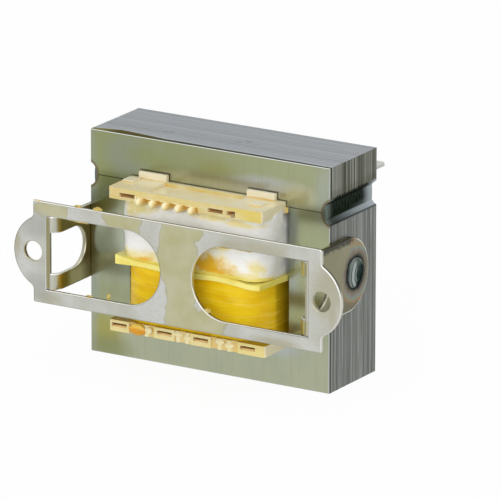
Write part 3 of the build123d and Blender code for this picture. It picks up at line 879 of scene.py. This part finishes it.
def sheet_stack(node, name, material, seed, marked_tones):
    """The stack sheet by sheet: uneven cut edges, one tone a sheet, a rounded rim round the front sheet
    that the material paints bright as a painted highlight.
    """
    draw = random.Random(seed)
    insets = [
        (draw.uniform(0, SIDE_UNEVEN), draw.uniform(0, LEVEL_UNEVEN), draw.random())
        for sheet in range(SHEET_COUNT)
    ]
    for sheet, share in marked_tones.items():
        insets[sheet] = (*insets[sheet][:2], share)
    bm = copy_of(node)
    low, high = box_of(node)
    tone = bm.faces.layers.float.new("tone")
    rim = bm.faces.layers.float.new("rim")

    def sheet_of(y):
        return min(SHEET_COUNT - 1, max(0, int((y - CORE_FRONT) / SHEET_PITCH)))

    for face in bm.faces:
        face[tone] = insets[sheet_of(face.calc_center_median().y)][2]

    def on_front_outline(vert):
        outer = abs(vert.co.x) > CORE_SIDE - TOUCH or abs(vert.co.z) > CORE_TOP - TOUCH
        return outer and vert.co.y < CORE_FRONT + TOUCH

    front_rim = corner_edges(bm, lambda edge: all(on_front_outline(vert) for vert in edge.verts))
    outer_level = high.z if node == "i_laminations" else low.z
    for vert in bm.verts:
        side_inset, level_inset, share = insets[sheet_of(vert.co.y)]
        if abs(vert.co.x) > CORE_SIDE - TOUCH:
            vert.co.x -= side_inset if vert.co.x > 0 else -side_inset
        if abs(vert.co.z - outer_level) < TOUCH:
            vert.co.z -= level_inset if outer_level > 0 else -level_inset
    for face in round_edges(bm, front_rim, SHEET_RIM, 1):
        face[rim] = 1.0
    write_piece(bm, name, material, (node,))


def folded_bracket(material):
    """The bracket with the rolled and sheared edges of stamped strap."""
    bm = copy_of("mounting_bracket")
    wall = bm.faces.layers.float.new("wall")
    rim = bm.faces.layers.float.new("rim")
    for face in bm.faces:
        normal = face.normal
        centre = face.calc_center_median()
        on_strap = centre.y < STRAP_THICK + TOUCH
        on_tab = centre.y > STRAP_THICK + 2.0 and abs(normal.x) < 0.1
        if (on_strap and abs(normal.y) < 0.1) or on_tab:
            face[wall] = 1.0
    for face in round_edges(bm, corner_edges(bm), STRAP_ROUND):
        face[rim] = 1.0
        face[wall] = 0.0
    write_piece(bm, "bracket", material, ("mounting_bracket",))


def flange_warp(x, y):
    """How far the thin middle flange has bent up at a place, the same at the rear turned round."""
    reach = max(CORE_FRONT - FLANGE_CLEAR - y, y - CORE_BACK - FLANGE_CLEAR, 0) / FLANGE_REACH
    turned = x if y < CORE_FRONT else -x
    lift = max(0, (-turned - 6) / 14) ** 1.5
    droop = 0.3 * max(0, 1 - abs(turned - 17) / 8) ** 1.5
    wave = 0.2 * sin((turned - 4.0) * 0.33)
    return min(reach, 1.0) ** 1.5 * (lift - droop + wave)


def warped_bobbin(material):
    """The bobbin with soft moulded edges and its thin middle flange bent out of flat."""
    bm = copy_of("bobbin")

    def on_outside(vert):
        face_gap = min(abs(vert.co.y - level) for level in (FRONT_TOP_FACE, FRONT_LOW_FACE, REAR_FACE))
        end_gap = min(abs(abs(vert.co.x) - half) for half in BLOCK_HALVES)
        on_block = min(face_gap, end_gap) < TOUCH and not CORE_FRONT - 0.3 < vert.co.y < CORE_BACK + 0.3
        return len(vert.link_edges) == 3 and (on_block or abs(vert.co.z) > bobbin_high.z - TOUCH)

    outside = corner_edges(
        bm, lambda edge: edge.calc_length() > LONG_EDGE and all(on_outside(vert) for vert in edge.verts)
    )
    round_edges(bm, outside, MOULDED_ROUND)
    for vert in bm.verts:
        place = vert.co
        finger = round((place.x - FINGER_ROW) / FINGER_PITCH)
        beside = place.x - FINGER_ROW - finger * FINGER_PITCH
        above = place.z - FINGER_LEVEL
        from_axis = hypot(beside, above)
        if place.y < FINGER_ROOT and abs(finger) < 3 and from_axis < FINGER_RADIUS:
            radial = min(FINGER_TIP, FINGER_SLIM * from_axis)
            if place.y < FRONT_TOP_FACE - TOUCH:
                place.y = FRONT_TOP_FACE - FINGER_REACH - sqrt(FINGER_TIP**2 - radial**2)
            place.x -= (1 - FINGER_SLIM) * beside
            place.z -= (1 - FINGER_SLIM) * min(0.0, above)

    def on_flange(vert):
        return FLANGE_LOW - TOUCH < vert.co.z < FLANGE_HIGH + TOUCH

    def flange_faces():
        return [face for face in bm.faces if all(on_flange(vert) for vert in face.verts)]

    bmesh.ops.triangulate(bm, faces=flange_faces())
    cut_step = 1.0
    for step in range(1, int(2 * bobbin_high.x / cut_step) + 1):
        faces = flange_faces()
        edges = list({edge for face in faces for edge in face.edges})
        verts = list({vert for face in faces for vert in face.verts})
        cut = (bobbin_low.x + step * cut_step, 0, 0)
        bmesh.ops.bisect_plane(bm, geom=verts + edges + faces, plane_co=cut, plane_no=(1, 0, 0))
    middle = (FLANGE_LOW + FLANGE_HIGH) / 2
    for vert in bm.verts:
        if on_flange(vert):
            x, y, z = vert.co
            at_end = unit((-x - 13.0) / 7.0) if y < CORE_FRONT - 1.0 else 0.0
            vert.co.z += flange_warp(x, y) + at_end**1.5 * (0.6 if z > middle else -0.55)
    write_piece(bm, "bobbin_moulding", material, ("bobbin",))


def ring_point(half_x, half_y, corner, share):
    """Point and outward direction at a share of the way round a rounded rectangle."""
    inner_x, inner_y = half_x - corner, half_y - corner
    arc = pi / 2 * corner
    along = share * 4 * (inner_x + inner_y + arc)
    for half, out in ((inner_x, (0, -1)), (inner_y, (1, 0)), (inner_x, (0, 1)), (inner_y, (-1, 0))):
        if along <= 2 * half + arc:
            break
        along -= 2 * half + arc
    way = (-out[1], out[0])
    shift = min(along, 2 * half) - half
    turn = max(0.0, along - 2 * half) / corner
    turned = Vector((out[0] * cos(turn) + way[0] * sin(turn), out[1] * cos(turn) + way[1] * sin(turn), 0))
    centre = Vector((out[0] * inner_x + way[0] * shift, out[1] * inner_y + way[1] * shift, 0))
    return centre + turned * corner, turned


def wound_wrap(name, node, material, corner, thick, swell, warp, levels):
    """Wrap round a coil: a closed band, swollen outside and bent at its ends by functions of place."""
    around = 240
    low, high = box_of(node)
    centre = Vector(((low.x + high.x) / 2, (low.y + high.y) / 2, 0))
    half_x, half_y = (high.x - low.x) / 2, (high.y - low.y) / 2
    rows = []
    for level in range(levels + 1):
        share = level / levels
        row = []
        for step in range(around):
            point, out = ring_point(half_x, half_y, corner, step / around)
            place = centre + point + Vector((0, 0, low.z + (high.z - low.z) * share))
            moved = place + out * swell(place)
            moved.z += warp(place, share)
            row.append(moved)
        rows.append(row)
    inner = (half_x - thick, half_y - thick, corner - thick)
    inside = [
        [centre + Vector((0, 0, z)) + ring_point(*inner, step / around)[0] for step in range(around)]
        for z in (high.z, low.z)
    ]
    write_piece(skin(rows + inside + [rows[0]], False), name, material, (node,))


def past_corner(x):
    """Share of the way round the wrap's corner, 0 on the front and 1 on the end."""
    return unit((x - 14.5) / 4.0)


def paper_swell(place):
    """Loose folds of the white wrap: fuller at mid height and at the right, pinched at the ends."""
    level = (place.z - paper_low.z) / (paper_high.z - paper_low.z)
    belly = 0.75 * sin(pi * unit(level)) ** 0.7 - 0.35
    fold = noise.noise(Vector((place.x * 0.16, place.y * 0.16, place.z * 0.3)))
    crease = noise.noise(Vector((place.x * 0.5 + 9, place.y * 0.5, place.z * 0.8)))
    lean = 0.35 * past_corner(place.x) - 0.5 * past_corner(-place.x)
    flare = 1.1 * max(0.0, level) ** 5 * past_corner(place.x) if place.y < FREE_PAPER else 0.0
    return belly + 0.4 * fold + 0.14 * crease + lean + flare


def paper_warp(place, share):
    """The wrap's foot stands on the bent flange, and a flap rises beside the front block's right end."""
    foot = max(0.0, flange_warp(place.x, place.y)) * (1 - share) ** 2
    beside_block = past_corner(place.x) if place.y < FREE_PAPER else 0.0
    flap = 0.25 * beside_block * max(0.0, place.y - 6.5)
    return foot + flap * share**6


def tape_swell(place):
    """Turns of tape that overlap in low steps, with long faint wrinkles."""
    level = (place.z - tape_low.z) / (tape_high.z - tape_low.z)
    slant = TAPE_SLANT * sin(place.x * TAPE_WAVE[0] + place.y * TAPE_WAVE[1])
    steps = sum(TAPE_STEP for edge in TAPE_EDGES if level + slant < edge)
    wrinkle = noise.noise(Vector((place.x * 0.12, place.y * 0.12, place.z * 0.9)))
    pucker = max(0.0, 1 - hypot((place.x + 15) / 9, (level - 0.85) / 0.3))
    return steps - 0.18 + 0.07 * wrinkle + 0.12 * pucker * sin(place.x * 1.3 + 3.0 * place.z)


def tape_warp(place, share):
    """The upper edge of the tape follows the bent flange."""
    return flange_warp(place.x, place.y) * share**3


def seam_bead(name, node, side, material):
    """Weld bead along the bottom of a groove, with the ripples of a moving arc."""
    low, high = box_of(node)
    half = (high.z - low.z) / 2
    rim = GROOVE_CENTRE - sqrt(GROOVE_RADIUS**2 - half * half)
    crown = max(abs(low.x), abs(high.x)) - rim
    across, stations = 14, 72
    rows = []
    for station in range(stations + 1):
        y = low.y + (high.y - low.y) * station / stations
        row = []
        for step in range(across + 1):
            share = 2 * step / across - 1
            ripple = RIPPLE_HEIGHT * sin((y - 1.1 * share * share) * 2 * pi / RIPPLE_PITCH)
            bulge = (crown + ripple - 0.04) * (1 - share * share)
            row.append((side * (rim + bulge), y, JOINT_LEVEL + share * half))
        for step in range(across - 1, 0, -1):
            turn = (2 * step / across - 1) * half
            depth = GROOVE_CENTRE - sqrt(GROOVE_RADIUS**2 - turn * turn)
            row.append((side * depth, y, JOINT_LEVEL + turn))
        rows.append(row)
    write_piece(skin(rows, True), name, material, (node,))


def plug_nugget(name, node, side, material):
    """Domed plug weld with set rings, spread over the rim of its hole."""
    low, high = box_of(node)
    radius = (high.y - low.y) / 2
    rise = (high.x - low.x) - STRAP_THICK
    around, rings = 64, 16
    turns = [2 * pi * step / around for step in range(around)]
    rows = []
    for ring in range(1, rings + 1):
        share = ring / rings
        row = []
        for turn in turns:
            lump = noise.noise(Vector((cos(turn) * share * 2, sin(turn) * share * 2, side * 3.0)))
            height = 0.92 * rise * (1 - share**2.4) * (1 + 0.08 * lump) + 0.02 * sin(share * 26)
            reach = radius * share * (1 + 0.02 * lump * (1 - share))
            x = side * (TAB_FACE + max(0.0, height) * (1 if ring < rings else 0))
            row.append((x, PLUG_Y + reach * cos(turn), reach * sin(turn)))
        rows.append(row)
    for x in (TAB_FACE, CORE_SIDE + PLUG_GAP):
        rows.append([(side * x, PLUG_Y + PLUG_NECK * cos(turn), PLUG_NECK * sin(turn)) for turn in turns])
    write_piece(skin(rows, True), name, material, (node,))


def terminal(node, material):
    """Blade terminal with its stamped edges broken."""
    bm = copy_of(node)
    round_edges(bm, corner_edges(bm), BLADE_ROUND)
    write_piece(bm, node + "_tinned", material, (node,))


def varnish_drop(bm, centre, radii, rough, tone, seed):
    """Lumpy drop of varnish round a point, from an olive crumb at tone 0 by cream to amber at tone 1."""
    layer = bm.faces.layers.float["tone"]
    made = bmesh.ops.create_icosphere(bm, subdivisions=3, radius=1.0)
    for vert in made["verts"]:
        start = Vector((seed, 0, 0))
        lump = noise.noise(vert.co * 1.6 + start) + 0.5 * noise.noise(vert.co * 4.0 + start)
        lump = 1 - rough * (0.3 - lump)
        vert.co = Vector(centre) + Vector([part * reach * lump for part, reach in zip(vert.co, radii)])
        for face in vert.link_faces:
            face[layer] = tone


def varnish_drops(material):
    """Drops and crumbs that the dip left on the bracket and the blocks."""
    crumb, cream, honey, amber = 0.0, 0.45, 0.75, 1.0
    crumbs = (
        ((-27.2, 0.6, 12.7), (1.1, 0.45, 0.45)),
        ((-21.9, 0.6, 12.8), (1.3, 0.45, 0.55)),
        ((-38.6, 0.6, 12.45), (1.2, 0.45, 0.2)),
        ((-27.0, 0.6, 9.0), (3.0, 0.45, 0.3)),
        ((-24.4, 0.6, -8.9), (1.1, 0.4, 0.25)),
        ((-18.9, 0.6, -8.2), (0.5, 0.4, 0.9)),
        ((-34.5, 0.8, -8.8), (0.7, 0.4, 0.3)),
        ((8.0, 0.7, -7.4), (1.5, 0.45, 0.7)),
        ((12.4, 0.6, 9.0), (3.0, 0.45, 0.28)),
        ((18.6, 0.6, 9.05), (2.6, 0.45, 0.24)),
    )
    drops = [(*place, 0.5, crumb) for place in crumbs]
    drops.append(((-13.6, 4.8, -16.5), (2.4, 0.6, 1.4), 0.12, amber))
    drops.append(((-10.6, 5.0, -16.3), (1.1, 0.5, 0.9), 0.12, cream))
    face_y, level = FRONT_LOW_FACE, SLOT_LEVELS[1]
    for x in LOW_SLOTS:
        drops.append(((x, face_y + 0.55, level - 0.35), (2.4, 0.5, 0.32), 0.1, honey))
    for middle, half in KNOB_GAPS[1:]:
        for knob, lift in ((middle - KNOB_STEP, 0.35), (middle + KNOB_STEP, -0.2)):
            drops.append(((knob, face_y + 0.35, level + lift), (1.4, 0.55, 0.8), 0.2, cream))
    bm = bmesh.new()
    bm.faces.layers.float.new("tone")
    for number, drop in enumerate(drops):
        varnish_drop(bm, *drop, number * 3.7)
    write_piece(bm, "varnish_drops", material)


# Stage

def empty_tree(owner):
    """Node tree of a material or world, without nodes."""
    owner.use_nodes = True
    owner.node_tree.nodes.clear()
    return owner.node_tree


def end_tree(tree, output, plain, shown):
    """Ends a tree with one shader, and another for the rays that should see a white background."""
    rays = add_node(tree, "LightPath", {}, "Is Camera Ray")
    for name in ("Is Glossy Ray", "Is Transmission Ray"):
        more = add_node(tree, "LightPath", {}, name)
        rays = add_node(tree, "Math", {0: rays, 1: more}, operation="MAXIMUM")
    add_node(tree, output, {"Surface": add_node(tree, "MixShader", {0: rays, 1: plain, 2: shown})})


def white_floor():
    """Plain pale floor under the core, white to the camera, that keeps the soft shadow."""
    material = bpy.data.materials.new("floor_white")
    tree = empty_tree(material)
    plain = add_node(tree, "BsdfDiffuse", {"Color": (0.9, 0.9, 0.9, 1)})
    pale = add_node(tree, "BsdfDiffuse", {"Color": (0.95, 0.95, 0.95, 1)})
    glow = add_node(tree, "Emission", {"Strength": 1.0})
    shown = add_node(tree, "MixShader", {0: 0.95, 1: pale, 2: glow})
    end_tree(tree, "OutputMaterial", plain, shown)
    bm = bmesh.new()
    bmesh.ops.create_grid(bm, x_segments=1, y_segments=1, size=3.0)
    floor = mesh_object(bm, "floor", material)
    floor.location.z = (CORE_FLOOR - FLOOR_GAP) * MM


def studio_world():
    """White background, and a softer even light on the object."""
    world = bpy.data.worlds.new("studio")
    bpy.context.scene.world = world
    tree = empty_tree(world)
    white = (1, 1, 1, 1)
    soft = add_node(tree, "Background", {"Color": white, "Strength": 0.5})
    full = add_node(tree, "Background", {"Color": white, "Strength": 1.0})
    end_tree(tree, "OutputWorld", soft, full)


def soft_light(name, place, size, power):
    """Square soft light aimed at the object's middle, with its place and size in metres."""
    lamp = bpy.data.lights.new(name, "AREA")
    lamp.shape = "SQUARE"
    lamp.size = size
    lamp.energy = power
    light = new_object(name, lamp)
    light.location = place
    light.rotation_mode = "QUATERNION"
    middle = Vector((0, 0.015, 0))
    light.rotation_quaternion = (middle - Vector(place)).to_track_quat("-Z", "Y")


def photo_camera():
    """Camera at the photograph's viewing angle, in millimetres and degrees."""
    azimuth, elevation, roll = radians(31.25), radians(16.51), radians(0.138)
    target = Vector((11.27, 15.0, 4.40))
    distance = 1857.0
    back = Vector((sin(azimuth) * cos(elevation), -cos(azimuth) * cos(elevation), sin(elevation)))
    lens = bpy.data.cameras.new("camera")
    lens.sensor_width = 36.0
    lens.lens = 569.5
    lens.clip_end = 20.0
    camera = new_object("camera", lens)
    camera.location = (target + back * distance) * MM
    camera.rotation_mode = "QUATERNION"
    camera.rotation_quaternion = Quaternion(back, roll) @ (-back).to_track_quat("-Z", "Y")
    bpy.context.scene.camera = camera


# The object
steel = core_steel()
# Sheets marked 0.0 are painted dark as painted shade in the gaps beside them.
sheet_stack("e_laminations", "e_sheets", steel, 11, {1: 0.0, 2: 1.0, 4: 0.0})
sheet_stack("i_laminations", "i_sheets", steel, 23, {0: 1.0, 1: 0.0, 2: 1.0, 3: 1.0, 13: 0.0, 17: 0.0})
folded_bracket(bracket_steel())
warped_bobbin(bobbin_nylon())
paper, tape = white_wrap(), yellow_tape()
wound_wrap("paper_band", "primary_wrap", paper, 5.2, 0.6, paper_swell, paper_warp, 40)
wound_wrap("tape_band", "secondary_wrap", tape, 8.5, 0.4, tape_swell, tape_warp, 80)
weld = weld_metal()
for side, hand in ((-1, "left"), (1, "right")):
    seam_bead("seam_bead_" + hand, "seam_weld_" + hand, side, weld)
    plug_nugget("plug_nugget_" + hand, "bracket_weld_" + hand, side, weld)
tin = tinned_brass()
for winding in ("primary", "secondary"):
    for hand in ("left", "right"):
        terminal(f"{winding}_blade_{hand}", tin)
wire = copper_wire()
for winding in ("primary_winding", "secondary_winding"):
    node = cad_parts[winding]
    node.data.materials.clear()
    node.data.materials.append(wire)
varnish_drops(cured_varnish())

# The stage
white_floor()
studio_world()
soft_light("key", (0.25, -1.3, 0.5), 1.3, 10.5)
soft_light("top", (0.0, 0.1, 1.1), 0.8, 3.5)
photo_camera()
bpy.context.scene.view_settings.view_transform = "Standard"
